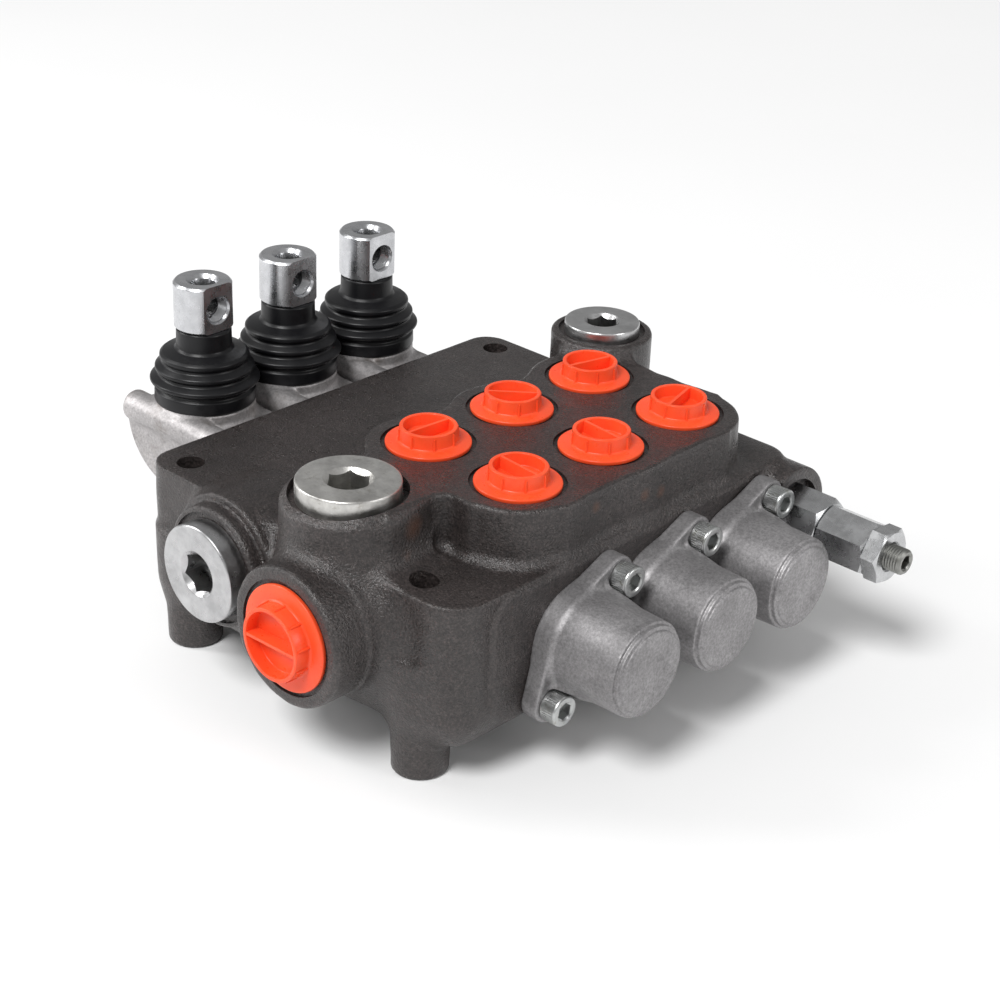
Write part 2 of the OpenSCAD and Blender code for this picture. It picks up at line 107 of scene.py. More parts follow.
class Grid:
    """Sample points over a box, as three arrays that broadcast."""

    def __init__(self, lo, hi, step):
        self.lo, self.step = np.array(lo, float), step
        axes = [np.arange(a, b + step, step, dtype=np.float32) for a, b in zip(lo, hi)]
        self.shape = tuple(len(a) for a in axes)
        self.x = axes[0][:, None, None]
        self.y = axes[1][None, :, None]
        self.z = axes[2][None, None, :]


def length2(a, b):
    """The length of a plane vector."""
    return np.sqrt(a * a + b * b)


def disc(u, v, r):
    return length2(u, v) - r


def rounded_rect(u, v, hu, hv, r):
    a, b = np.abs(u) - hu + r, np.abs(v) - hv + r
    return np.minimum(np.maximum(a, b), 0) + length2(np.maximum(a, 0), np.maximum(b, 0)) - r


def extrude(section, w, lo, hi, edge=0.0):
    """A section swept from lo to hi along w, its rims rounded by edge."""
    return rounded_both(section, np.abs(w - (lo + hi) / 2) - (hi - lo) / 2, edge)


def rounded_both(a, b, r):
    """Inside both a and b, the edge between them rounded by r."""
    if r == 0:
        return np.maximum(a, b)
    return np.minimum(-r, np.maximum(a, b)) + length2(np.maximum(r + a, 0), np.maximum(r + b, 0))


def join(a, b, r):
    """Inside a or b, the corner between them filled to radius r."""
    return np.maximum(r, np.minimum(a, b)) - length2(np.maximum(r - a, 0), np.maximum(r - b, 0))


def cut(a, b, r):
    """Inside a and outside b."""
    return rounded_both(a, -b, r)


def uneven_capsule(u, v, du, dv, r0, r1):
    """The outline round a circle r0 at the origin and a circle r1 at (du, dv)."""
    h = math.hypot(du, dv)
    along = (u * du + v * dv) / h
    across = np.abs(-u * dv + v * du) / h
    b = (r0 - r1) / h
    a = math.sqrt(1 - b * b)
    k = -b * across + a * along
    side = across * a + along * b - r0
    return np.where(k < 0, length2(across, along) - r0,
                    np.where(k > a * h, length2(across, along - h) - r1, side))


def segment(x, y, z, p, q, rp, rq):
    """A round bar from p to q whose radius runs from rp to rq."""
    d = np.array(q, float) - np.array(p, float)
    t = ((x - p[0]) * d[0] + (y - p[1]) * d[1] + (z - p[2]) * d[2]) / (d @ d)
    t = np.clip(t, 0, 1).astype(np.float32)
    dx, dy, dz = x - p[0] - t * d[0], y - p[1] - t * d[1], z - p[2] - t * d[2]
    return np.sqrt(dx * dx + dy * dy + dz * dz) - (rp + (rq - rp) * t)


CELL_CORNERS = np.array([(i, j, k) for i in (0, 1) for j in (0, 1) for k in (0, 1)])
CELL_EDGES = [(a, b) for a in range(8) for b in range(a + 1, 8)
              if np.abs(CELL_CORNERS[a] - CELL_CORNERS[b]).sum() == 1]


def surface(grid, field):
    """The zero surface of a sampled distance as vertices in mm and quads."""
    field = np.broadcast_to(field, grid.shape).astype(np.float32)
    inside = field < 0
    n = np.array(grid.shape) - 1
    count = np.zeros(tuple(n), np.int8)
    for i, j, k in CELL_CORNERS:
        count += inside[i:n[0] + i, j:n[1] + j, k:n[2] + k]
    cells = np.argwhere((count > 0) & (count < 8))
    ids = (cells[:, 0] * n[1] + cells[:, 1]) * n[2] + cells[:, 2]
    values = np.stack([field[tuple((cells + c).T)] for c in CELL_CORNERS], 1)
    total = np.zeros((len(cells), 3))
    hits = np.zeros(len(cells))
    for a, b in CELL_EDGES:
        va, vb = values[:, a], values[:, b]
        crosses = (va < 0) != (vb < 0)
        t = np.where(crosses, va / np.where(crosses, va - vb, 1), 0)
        start, end = CELL_CORNERS[a], CELL_CORNERS[b]
        total += np.where(crosses[:, None], start + t[:, None] * (end - start), 0)
        hits += crosses
    points = grid.lo + grid.step * (cells + total / hits[:, None])
    quads = []
    for axis in range(3):
        u, v = (axis + 1) % 3, (axis + 2) % 3
        low = [slice(None)] * 3
        high = [slice(None)] * 3
        low[axis], high[axis] = slice(0, -1), slice(1, None)
        first, second = inside[tuple(low)], inside[tuple(high)]
        edges = np.argwhere(first != second)
        edges = edges[(edges[:, u] > 0) & (edges[:, v] > 0)]
        outward = first[tuple(edges.T)]
        loop = []
        for du, dv in ((-1, -1), (0, -1), (0, 0), (-1, 0)):
            c = edges.copy()
            c[:, u] += du
            c[:, v] += dv
            loop.append(np.searchsorted(ids, (c[:, 0] * n[1] + c[:, 1]) * n[2] + c[:, 2]))
        quad = np.stack(loop, 1)
        quad[~outward] = quad[~outward][:, ::-1]
        quads.append(quad)
    return points, np.concatenate(quads)


# ---- meshes --------------------------------------------------------------------


def new_object(name, points, faces):
    """An object from points in mm and faces."""
    mesh = bpy.data.meshes.new(name)
    mesh.from_pydata(np.asarray(points, float) * MM, [], faces)
    mesh.update()
    obj = bpy.data.objects.new(name, mesh)
    bpy.context.scene.collection.objects.link(obj)
    return obj


def baked(obj):
    """obj with its modifiers applied."""
    bpy.context.view_layer.update()
    graph = bpy.context.evaluated_depsgraph_get()
    mesh = bpy.data.meshes.new_from_object(obj.evaluated_get(graph))
    obj.modifiers.clear()
    old, obj.data = obj.data, mesh
    bpy.data.meshes.remove(old)
    return obj


def boolean(obj, tool, operation="DIFFERENCE"):
    """obj combined with the closed mesh tool, which is used up."""
    mod = obj.modifiers.new("boolean", "BOOLEAN")
    mod.operation, mod.solver, mod.object = operation, "MANIFOLD", tool
    baked(obj)
    bpy.data.objects.remove(tool)
    return obj


def decimate(obj, triangles):
    """obj thinned to about so many triangles, if it has more."""
    have = sum(len(p.vertices) - 2 for p in obj.data.polygons)
    if have > triangles:
        mod = obj.modifiers.new("thin", "DECIMATE")
        mod.ratio = triangles / have
        baked(obj)
    return obj


def smooth(obj, angle, flat_over=3.0):
    """Smooth shading with creases where faces meet at more than angle degrees.
    Faces with many corners, or larger than flat_over square mm, stay flat."""
    obj.data.shade_smooth()
    obj.data.set_sharp_from_angle(angle=math.radians(angle))
    for face in obj.data.polygons:
        if len(face.vertices) > 4 or face.area > flat_over * MM * MM:
            face.use_smooth = False
    return obj


def arcs(points, r, steps=4, closed=False):
    """A polyline with its corners rounded; r is one radius, or one for each point."""
    n = len(points)
    radii = [r] * n if isinstance(r, (int, float)) else r
    out = []
    for i, p in enumerate(points):
        if radii[i] == 0 or (not closed and i in (0, n - 1)):
            out.append(p)
            continue
        p = Vector(p)
        a, b = Vector(points[i - 1]) - p, Vector(points[(i + 1) % n]) - p
        turn = a.angle(b)
        if turn > STRAIGHT:
            out.append(tuple(p))
            continue
        reach = min(radii[i] / math.tan(turn / 2), a.length * 0.48, b.length * 0.48)
        start, end = p + a.normalized() * reach, p + b.normalized() * reach
        for k in range(steps + 1):
            t = k / steps
            out.append(tuple((1 - t) ** 2 * start + 2 * t * (1 - t) * p + t * t * end))
    return out


def lathe(name, profile, segments=96):
    """A closed body turned about +Z from (radius, z) points that start and end on the axis,
    or that close on themselves."""
    closed = profile[0][0] > ON_AXIS
    rings, points, faces = [], [], []
    for r, z in profile:
        if r < ON_AXIS:
            rings.append([len(points)] * segments)
            points.append((0, 0, z))
        else:
            rings.append([len(points) + k for k in range(segments)])
            points += [(r * math.cos(2 * math.pi * k / segments),
                        r * math.sin(2 * math.pi * k / segments), z) for k in range(segments)]
    pairs = list(zip(rings, rings[1:])) + ([(rings[-1], rings[0])] if closed else [])
    for low, high in pairs:
        for k in range(segments):
            q = (k + 1) % segments
            face = [low[k], low[q], high[q], high[k]]
            face = [v for j, v in enumerate(face) if v != face[j - 1]]
            if len(face) > 2:
                faces.append(face)
    obj = new_object(name, points, faces)
    bm = bmesh.new()
    bm.from_mesh(obj.data)
    if bm.calc_volume(signed=True) < 0:
        bmesh.ops.reverse_faces(bm, faces=bm.faces)
    bm.to_mesh(obj.data)
    bm.free()
    return obj


def rod(r, lo, hi, segments=64, r_top=None):
    """A cylinder or cone along +Z."""
    top = r if r_top is None else r_top
    return lathe("rod", [(0, lo), (r, lo), (top, hi), (0, hi)], segments)


def prism(flats, lo, hi, turn=0.0):
    """A six-sided bar along +Z with the size across flats."""
    r = flats / math.sqrt(3)
    bar = lathe("bar", [(0, lo), (r, lo), (r, hi), (0, hi)], 6)
    bar.data.transform(Matrix.Rotation(math.radians(turn), 4, "Z"))
    return bar


def block(lo, hi):
    """A box between two corners."""
    pts = [(x, y, z) for x in (lo[0], hi[0]) for y in (lo[1], hi[1]) for z in (lo[2], hi[2])]
    return new_object("block", pts, [(0, 1, 3, 2), (4, 6, 7, 5), (0, 4, 5, 1), (2, 3, 7, 6),
                                     (0, 2, 6, 4), (1, 5, 7, 3)])


TURNS = {
    "+x": Matrix.Rotation(math.radians(90), 4, "Y"),
    "-x": Matrix.Rotation(math.radians(-90), 4, "Y"),
    "+y": Matrix.Rotation(math.radians(-90), 4, "X"),
    "-y": Matrix.Rotation(math.radians(90), 4, "X"),
    "+z": Matrix.Identity(4),
}


def put(obj, at, axis="+z"):
    """obj, built along +Z, turned along axis and moved to a point in mm."""
    obj.data.transform(Matrix.Translation(Vector(at) * MM) @ TURNS[axis])
    return obj


def copy_of(obj, at, axis="+z", name=None, turn=0.0):
    """A copy of obj, turned by turn degrees about +Z and then put in its place."""
    other = bpy.data.objects.new(name or obj.name, obj.data.copy())
    bpy.context.scene.collection.objects.link(other)
    other.data.transform(Matrix.Rotation(math.radians(turn), 4, "Z"))
    return put(other, at, axis)


def merge(name, objs):
    """Several objects as one mesh, without joining their surfaces."""
    bm = bmesh.new()
    for o in objs:
        bm.from_mesh(o.data)
    mesh = bpy.data.meshes.new(name)
    bm.to_mesh(mesh)
    bm.free()
    for o in objs:
        bpy.data.objects.remove(o)
    obj = bpy.data.objects.new(name, mesh)
    bpy.context.scene.collection.objects.link(obj)
    return obj


def union(objs):
    """Closed meshes as one closed mesh."""
    whole = objs[0]
    for o in objs[1:]:
        boolean(whole, o, "UNION")
    return whole


# ---- materials -----------------------------------------------------------------


class Nodes:
    """A small helper that writes one node material."""

    def __init__(self, name):
        self.mat = bpy.data.materials.new(name)
        self.mat.use_nodes = True
        self.tree = self.mat.node_tree
        self.shader = self.tree.nodes["Principled BSDF"]
        self.where = self.add("ShaderNodeTexCoord").outputs["Object"]

    def add(self, kind, **values):
        node = self.tree.nodes.new(kind)
        for key, value in values.items():
            if key in node.inputs:
                node.inputs[key].default_value = value
            else:
                setattr(node, key, value)
        return node

    def link(self, a, b):
        self.tree.links.new(a, b)

    def noise(self, scale, detail=4.0, rough=0.55):
        n = self.add("ShaderNodeTexNoise", Scale=scale, Detail=detail, Roughness=rough)
        self.link(self.where, n.inputs["Vector"])
        return n.outputs["Fac"]

    def ramp(self, fac, stops):
        n = self.add("ShaderNodeValToRGB")
        ramp = n.color_ramp
        while len(ramp.elements) < len(stops):
            ramp.elements.new(0.5)
        for e, (at, colour) in zip(ramp.elements, stops):
            e.position = at
            e.color = (*colour, 1) if isinstance(colour, tuple) else (colour,) * 3 + (1,)
        self.link(fac, n.inputs["Fac"])
        return n.outputs["Color"]

    def mix(self, fac, a, b, how="MIX"):
        n = self.add("ShaderNodeMix", data_type="RGBA", blend_type=how)
        for socket, value in ((n.inputs[0], fac), (n.inputs[6], a), (n.inputs[7], b)):
            if isinstance(value, bpy.types.NodeSocket):
                self.link(value, socket)
            elif isinstance(value, tuple):
                socket.default_value = (*value, 1)
            else:
                socket.default_value = value
        return n.outputs[2]

    def math(self, how, a, b):
        n = self.add("ShaderNodeMath", operation=how)
        for socket, value in zip(n.inputs, (a, b)):
            if isinstance(value, bpy.types.NodeSocket):
                self.link(value, socket)
            else:
                socket.default_value = value
        return n.outputs[0]

    def bump(self, height, depth, strength, before=None):
        n = self.add("ShaderNodeBump", Strength=strength, Distance=depth)
        self.link(height, n.inputs["Height"])
        if before is not None:
            self.link(before, n.inputs["Normal"])
        return n.outputs["Normal"]

    def spot(self, at, radius, ragged=0.5):
        """A ragged spot round a point in mm: 1 in its middle, 0 outside."""
        sub = self.add("ShaderNodeVectorMath", operation="DISTANCE")
        self.link(self.where, sub.inputs[0])
        sub.inputs[1].default_value = Vector(at) * MM
        far = self.math("DIVIDE", sub.outputs["Value"], radius * MM)
        rag = self.math("MULTIPLY", self.noise(900.0, 4.0), ragged)
        return self.ramp(self.math("ADD", far, rag), [(0.45, 1.0), (1.1, 0.0)])

    def finish(self, colour, rough=None, normal=None, **constants):
        """The material, its shader fed by these sockets and constants."""
        for key, value in constants.items():
            self.shader.inputs[key.replace("_", " ")].default_value = value
        for key, socket in (("Base Color", colour), ("Roughness", rough), ("Normal", normal)):
            if socket is not None:
                self.link(socket, self.shader.inputs[key])
        return self.mat


# rust on the casting: where it is in mm, and how far it spreads
RUST = (((42.5, -66.0, 76.0), 6.5), ((42.2, -70.0, 68.0), 4.5), ((73.0, 4.0, 74.0), 3.4),
        ((73.0, 12.0, 72.5), 3.6), ((72.5, -18.0, 77.0), 3.2), ((66.0, -72.0, 33.0), 7.0))


def iron_material():
    """Dark oiled sand-cast iron with a few spots of rust."""
    n = Nodes("sand_cast_iron")
    cloud = n.ramp(n.noise(38.0, 5.0),
                   [(0.3, (0.022, 0.0175, 0.0165)), (0.7, (0.038, 0.0305, 0.029))])
    mottle = n.ramp(n.noise(420.0, 6.0, 0.7), [(0.3, 0.62), (0.7, 1.25)])
    colour = n.mix(1.0, cloud, mottle, "MULTIPLY")
    grain = n.ramp(n.noise(1250.0, 4.0, 0.8), [(0.38, 0.50), (0.50, 0.95), (0.66, 2.3)])
    colour = n.mix(1.0, colour, grain, "MULTIPLY")
    rust = n.ramp(n.noise(95.0, 6.0, 0.75), [(0.70, 0.0), (0.78, 1.0)])
    for at, radius in RUST:
        rust = n.mix(1.0, rust, n.mix(1.0, n.spot(at, radius), (0.55,) * 3, "MULTIPLY"), "LIGHTEN")
    colour = n.mix(rust, colour, (0.115, 0.050, 0.028))
    rough = n.ramp(n.noise(260.0, 5.0), [(0.3, 0.24), (0.7, 0.40)])
    normal = n.bump(n.noise(300.0, 3.0, 0.5), 0.0004, 0.5)
    normal = n.bump(n.noise(1300.0, 3.0, 0.6), 0.0005, 0.8, normal)
    return n.finish(colour, rough, normal, Metallic=0.1, Specular_IOR_Level=0.7)


def casting_material(name, dark, light, stain=None):
    """Die-cast aluminium: satin and faintly mottled."""
    n = Nodes(name)
    colour = n.ramp(n.noise(55.0, 5.0, 0.6), [(0.3, dark), (0.7, light)])
    mottle = n.ramp(n.noise(1100.0, 4.0, 0.75), [(0.34, 0.72), (0.66, 1.22)])
    colour = n.mix(1.0, colour, mottle, "MULTIPLY")
    if stain:
        colour = n.mix(n.ramp(n.noise(70.0, 6.0, 0.7), [(0.52, 0.0), (0.72, 0.75)]), colour, stain)
    rough = n.ramp(n.noise(300.0, 4.0), [(0.3, 0.42), (0.7, 0.58)])
    normal = n.bump(n.noise(1700.0, 3.0, 0.6), 0.00007, 0.6)
    normal = n.bump(n.noise(160.0, 3.0, 0.5), 0.00025, 0.35, normal)
    return n.finish(colour, rough, normal, Metallic=0.72)


def turned_material(name, colour_lo, colour_hi, rough_lo, rough_hi, grime=None, centre=None,
                    axis="Z", shaded_hollows=(), reach=9.5):
    """Machined steel: fine marks, a little grime, turning rings along axis about a centre if one
    is given, and painted shade that darkens the hollow round each given point."""
    n = Nodes(name)
    colour = n.ramp(n.noise(130.0, 6.0, 0.7), [(0.35, colour_lo), (0.68, colour_hi)])
    if grime:
        colour = n.mix(n.ramp(n.noise(330.0, 6.0, 0.75), [(0.56, 0.0), (0.74, 0.8)]), colour, grime)
    # painted shade: the hollow round each given point (a hex socket, a lever block's hole) is darkened
    # to near black
    for at in shaded_hollows:
        colour = n.mix(n.spot(at, reach, 0.1), colour, (0.035, 0.034, 0.028))
    rough = n.ramp(n.noise(240.0, 5.0, 0.6), [(0.3, rough_lo), (0.7, rough_hi)])
    normal = n.bump(n.noise(1500.0, 4.0, 0.6), 0.00002, 0.4)
    if centre:
        where = n.add("ShaderNodeMapping", vector_type="TEXTURE")
        where.inputs["Location"].default_value = Vector(centre) * MM
        n.link(n.where, where.inputs["Vector"])
        wave = n.add("ShaderNodeTexWave", wave_type="RINGS", rings_direction=axis, Scale=900.0,
                     Distortion=1.2, Detail=2.0)
        n.link(where.outputs["Vector"], wave.inputs["Vector"])
        normal = n.bump(wave.outputs["Fac"], 0.00004, 0.45, normal)
    return n.finish(colour, rough, normal, Metallic=1.0)


def rubber_material():
    """Black rubber with pale dust."""
    n = Nodes("boot_rubber")
    colour = n.ramp(n.noise(90.0, 5.0), [(0.3, (0.003, 0.003, 0.004)), (0.7, (0.008, 0.008, 0.009))])
    dust = n.ramp(n.noise(700.0, 5.0, 0.8), [(0.68, 0.0), (0.82, 0.35)])
    colour = n.mix(dust, colour, (0.035, 0.033, 0.03))
    rough = n.ramp(n.noise(180.0, 4.0), [(0.3, 0.30), (0.7, 0.44)])
    normal = n.bump(n.noise(1400.0, 3.0), 0.00004, 0.5)
    return n.finish(colour, rough, normal, Specular_IOR_Level=0.33)


def plastic_material():
    """Orange plastic that lets a little light in."""
    n = Nodes("port_plastic")
    colour = n.ramp(n.noise(60.0, 4.0), [(0.3, (0.84, 0.072, 0.018)), (0.7, (0.90, 0.098, 0.028))])
    rough = n.ramp(n.noise(500.0, 4.0), [(0.3, 0.26), (0.7, 0.40)])
    normal = n.bump(n.noise(700.0, 3.0), 0.00005, 0.5)
    return n.finish(colour, rough, normal, Specular_IOR_Level=0.35, Subsurface_Weight=0.2,
                    Subsurface_Scale=0.001, Subsurface_Radius=(1.0, 0.2, 0.05))


IRON = iron_material()
CAP_CASTING = casting_material("cap_casting", (0.235, 0.228, 0.231), (0.36, 0.35, 0.355))
HOUSING_CASTING = casting_material("housing_casting", (0.36, 0.345, 0.345), (0.50, 0.48, 0.48),
                                   stain=(0.17, 0.14, 0.115))
ZINC = turned_material("bright_zinc", (0.55, 0.56, 0.58), (0.72, 0.73, 0.75), 0.22, 0.36)
# painted shade in the hole at the top of each lever block
ZINC_BLOCK = turned_material("lever_block_zinc", (0.50, 0.505, 0.52), (0.68, 0.685, 0.705), 0.22, 0.34,
                             shaded_hollows=[(LEVER_X, y, 98.0) for y in SPOOL_Y], reach=8.0)
SCREW_ZINC = turned_material("screw_zinc", (0.42, 0.43, 0.43), (0.62, 0.63, 0.62), 0.24, 0.42,
                             grime=(0.20, 0.19, 0.12))
RELIEF_ZINC = turned_material("relief_zinc", (0.46, 0.465, 0.47), (0.66, 0.665, 0.675), 0.20, 0.34)
DARK_STEEL = turned_material("adjuster_steel", (0.20, 0.20, 0.19), (0.38, 0.38, 0.36), 0.28, 0.45,
                             grime=(0.10, 0.09, 0.06))
# painted shade in the top plug's hex socket
TOP_PLUG = turned_material("top_plug_steel", (0.50, 0.49, 0.47), (0.80, 0.79, 0.76), 0.30, 0.48,
                           grime=(0.30, 0.28, 0.24), shaded_hollows=[(*TOP_IN, PORT_Z - 3.0)])
# painted shade in the side plug's hex socket
SIDE_STEEL = turned_material("side_plug_steel", (0.42, 0.42, 0.425), (0.60, 0.60, 0.605), 0.24, 0.38,
                             centre=(SIDE_PLUG[0], 0, SIDE_PLUG[1]), axis="Y",
                             shaded_hollows=[(SIDE_PLUG[0], SIDE_SEAT_Y, SIDE_PLUG[1])])
# painted shade in the tank plug's hex socket
TANK_STEEL = turned_material("tank_plug_steel", (0.46, 0.46, 0.46), (0.64, 0.64, 0.64), 0.26, 0.42,
                             centre=(*TANK, 0), shaded_hollows=[(*TANK, TANK_SEAT_Z - 2.5)])
HIDDEN_STEEL = turned_material("ground_steel", (0.42, 0.42, 0.43), (0.55, 0.55, 0.56), 0.22, 0.32)
RUBBER = rubber_material()
PLASTIC = plastic_material()


def dress(obj, material, body, slot, *nodes):
    """Gives obj its material and body and hides the CAD nodes it stands for; slot is not used."""
    obj.data.materials.clear()
    obj.data.materials.append(material)
    if body:
        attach(obj, body)
    if nodes:
        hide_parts(*nodes)
    return obj


# ---- the cast body ---------------------------------------------------------------


def body_field(g):
    """The casting before it is machined."""
    x, y, z = g.x, g.y, g.z
    corner = np.where((x > 0) & (y < 0), 13.0, 9.0).astype(np.float32)
    outline = rounded_rect(x - 4.5, y, 70.0, 80.0, corner)
    solid = rounded_both(outline, z - DECK_Z, 0.9)
    lower = rounded_rect(x - 1.0, y, 73.5, 80.0, corner)
    solid = rounded_both(solid, (lower + 19.0 - z) * SIN_45, 4.0)
    solid = rounded_both(solid, 12.0 - z, 3.0)

    # raised port face: a lobe round each port, and the neck to the inlet boss
    lobes = rounded_rect(x - 36.0, y - 7.0, 36.0, 38.0, 0.01)
    lobes = np.minimum(lobes, rounded_rect(x - 33.0, y - 7.0, 19.0, 58.0, 0.01))
    for px in PORT_X:
        for py in SPOOL_Y:
            lobes = join(lobes, disc(x - px, y - py, 20.0), 4.0)
    neck = np.minimum(rounded_rect(x - 24.75, y + 57.0, 16.75, 18.0, 0.01),
                      disc(x - TOP_IN[0], y - TOP_IN[1] - 3.5, 19.2))
    section = join(lobes, neck, 6.5) - 0.03 * (PORT_Z - z)
    raised = rounded_both(section, z - PORT_Z, 1.0)
    raised = np.maximum(raised, 55.0 - z)
    solid = join(solid, raised, 4.2)
    solid = np.maximum(solid, x - 74.9)

    # bosses
    tank = extrude(disc(x - TANK[0], y - TANK[1], 17.5), z, 30.0, 87.0, 1.2)
    solid = join(solid, tank, 5.0)
    inlet_top = extrude(disc(x - TOP_IN[0], y - TOP_IN[1], 20.2), z, 30.0, PORT_Z - 2.6, 1.3)
    solid = join(solid, inlet_top, 6.0)
    ring = disc(x - SIDE_PLUG[0], z - SIDE_PLUG[1], 20.0)
    plug = extrude(ring, y, -91.5, -60.0, 1.4)
    plug = join(plug, extrude(ring - 2.6, y, -86.5, -60.0, 1.2), 0.8)
    solid = join(solid, plug, 5.0)
    ring = disc(x - INLET[0], z - INLET[1], 22.5)
    inlet = extrude(ring, y, -101.5, -60.0, 1.6)
    flare = (ring - np.clip((y + 87.0) * 0.55, 0, 4.4)) * 0.88
    inlet = join(inlet, np.maximum(flare, -88.0 - y), 2.0)
    inlet = np.maximum(inlet, y + 60.0)
    solid = join(solid, inlet, 6.0)
    relief = extrude(disc(y - RELIEF[0], z - RELIEF[1], 17.0), x, 40.0, 82.0, 0.8)
    solid = join(solid, relief, 3.5)

    # machined pads, feet
    pad = extrude(rounded_rect(y, z - 41.0, 64.0, 21.5, 9.0), x, 62.0, FACE_X, 0.35)
    solid = join(solid, pad, 1.2)
    pad = extrude(rounded_rect(y - 6.0, z - 41.75, 58.0, 20.75, 4.0), x, BACK_X, -58.0, 0.35)
    solid = join(solid, pad, 1.2)
    foot = disc(np.abs(x) - FOOT[0], np.abs(y) - FOOT[1], 8.9) - 0.03 * z
    foot = rounded_both(foot, -z, 0.5)
    foot = np.maximum(foot, z - 40.0)
    solid = join(solid, foot, 4.5)

    # room for the last spring cap beside the relief boss
    flange = np.minimum(disc(y - SPOOL_Y[2], z - SPOOL_Z, 16.8),
                        uneven_capsule(y - SPOOL_Y[2], z - SPOOL_Z, *LUG, 16.2, 6.7))
    solid = cut(solid, np.maximum(flange, FACE_X - x), 0.3)

    # slow waviness of the sand mould, faded out on the machined faces
    wave = (0.10 * np.sin(0.29 * x + 1.3) * np.sin(0.23 * y + 0.4) * np.sin(0.33 * z)
            + 0.07 * np.sin(0.61 * x + 0.3) * np.sin(0.53 * y + 2.0) * np.sin(0.47 * z + 1.0))
    keep = np.clip(z / 4, 0, 1) * np.clip((74.5 - x) / 3, 0, 1) * np.clip((x + 66) / 3, 0, 1)
    return solid + (wave * keep).astype(np.float32)


def body_tools():
    """The drilled and faced hollows of the body as one closed mesh."""
    cuts = []

    def drill(axis, u, v, r, lo, hi, segments=64):
        at = {"+z": (u, v, 0), "+y": (u, 0, v), "+x": (0, u, v)}[axis]
        cuts.append(put(rod(r, lo, hi, segments), at, axis))

    for sx in (-1, 1):
        for sy in (-1, 1):
            drill("+z", sx * FOOT[0], sy * FOOT[1], 4.5, -1, 66)
    for px in PORT_X:
        for py in SPOOL_Y:
            drill("+z", px, py, 15, PORT_Z - 1, PORT_Z + 1.5, 128)
            drill("+z", px, py, 9.5, 66, PORT_Z, 96)
            drill("+z", px, py, 6.5, SPOOL_Z, 67)
    drill("+z", *TOP_IN, 18.2, TOP_SEAT_Z, PORT_Z + 1.5, 128)
    drill("+z", *TOP_IN, 13.1, 62, PORT_Z, 96)
    drill("+z", *TOP_IN, 9, INLET[1], 63)
    drill("+z", *TANK, 15, TANK_SEAT_Z, 88.5, 128)
    drill("+z", *TANK, 10.6, 71, 87, 96)
    drill("+z", *TANK, 7, 26, 72)
    drill("+y", *INLET, 18.5, -103, INLET_SEAT_Y, 128)
    drill("+y", *INLET, 13.1, -101.5, -82, 96)
    drill("+y", *INLET, 8, -83, 62)
    drill("+y", *SIDE_PLUG, 18.2, -95, SIDE_SEAT_Y, 128)
    drill("+y", *SIDE_PLUG, 13.1, -93.5, -76, 96)
    drill("+y", *SIDE_PLUG, 9, -77, -58)
    drill("+y", *SIDE_PLUG, 6, -59, 66)
    drill("+x", *RELIEF, 13, 79, 84, 96)
    drill("+x", *RELIEF, 8.05, 66, 80)
    drill("+x", *RELIEF, 6, 60.5, 67)
    for py in SPOOL_Y:
        drill("+x", py, SPOOL_Z, 9, -70, 80)
        drill("+x", py, SPOOL_Z, 12, -70, -64)
        drill("+x", py, SPOOL_Z, 12, 72.5, 80)
        for s in (-1, 1):
            drill("+x", py + s * LUG[0], SPOOL_Z + s * LUG[1], 3.05, 60, 80, 32)
            drill("+x", py - s * LUG[0], SPOOL_Z + s * ARM_DZ, 2.55, -70, -54, 32)
    return union(cuts)


def make_body():
    g = Grid((-68.5, -103.0, -1.3), (83.6, 91.4, 88.6), 0.65)
    points, quads = surface(g, body_field(g))
    obj = new_object("body_casting", points, quads)
    decimate(obj, 175_000)
    boolean(obj, body_tools())
    smooth(obj, 34, NEVER_FLAT)
    return dress(obj, IRON, "valve", "cast_iron", "valve_body")


# ---- spring caps and lever housings --------------------------------------------------


def cap_field(g):
    """A spring cap with its seat at x 0 and its axis along x."""
    x, y, z = g.x, g.y, g.z
    flange = np.minimum(uneven_capsule(y, z, *LUG, 15.8, 6.2),
                        uneven_capsule(y, z, -LUG[0], -LUG[1], 15.8, 6.2))
    solid = extrude(flange, x, 0.0, CAP_FLANGE, 0.7)
    round_ = length2(y, z)
    barrel = rounded_both(round_ - (16.4 - x * 0.0317), x - 31.0, 0.8)
    barrel = cut(barrel, rounded_both(-(round_ - 13.6), 30.2 - x, 0), 0)
    barrel = join(barrel, extrude(round_ - 13.2, x, 20.0, 32.4, 0.6), 0.25)
    barrel = join(barrel, extrude(round_ - 14.5, x, 20.0, 31.6, 0.3), 0.2)
    barrel = np.maximum(barrel, -x)
    solid = join(solid, barrel, 2.2)
    for s in (-1, 1):
        web = segment(x, y, z, (4.2, s * 13.4, s * 15.2), (15.5, s * 8.4, s * 9.6), 3.6, 2.2)
        solid = join(solid, web, 3.0)
    solid = np.maximum(solid, -x)
    for s in (-1, 1):
        head = disc(y - s * LUG[0], z - s * LUG[1], 5.6)
        solid = cut(solid, np.maximum(head, CAP_FLANGE - x), 0.4)
    hollow = np.maximum(round_ - 12.3, x - 27.0)
    return cut(solid, hollow, 0)


def make_caps():
    g = Grid((-1.0, -22.5, -24.5), (33.6, 22.5, 24.5), 0.36)
    points, quads = surface(g, cap_field(g))
    base = decimate(new_object("cap", points, quads), 90_000)
    holes = [put(rod(3.3, -1, 9, 48), (0, s * LUG[0], s * LUG[1]), "+x") for s in (-1, 1)]
    boolean(base, union(holes))
    smooth(base, 34, NEVER_FLAT)
    for i, py in enumerate(SPOOL_Y, 1):
        cap = copy_of(base, (FACE_X, py, SPOOL_Z), name=f"spring_cap_{i}_cast")
        dress(cap, CAP_CASTING, "valve", "cap_casting", f"spring_cap_{i}")
    bpy.data.objects.remove(base)


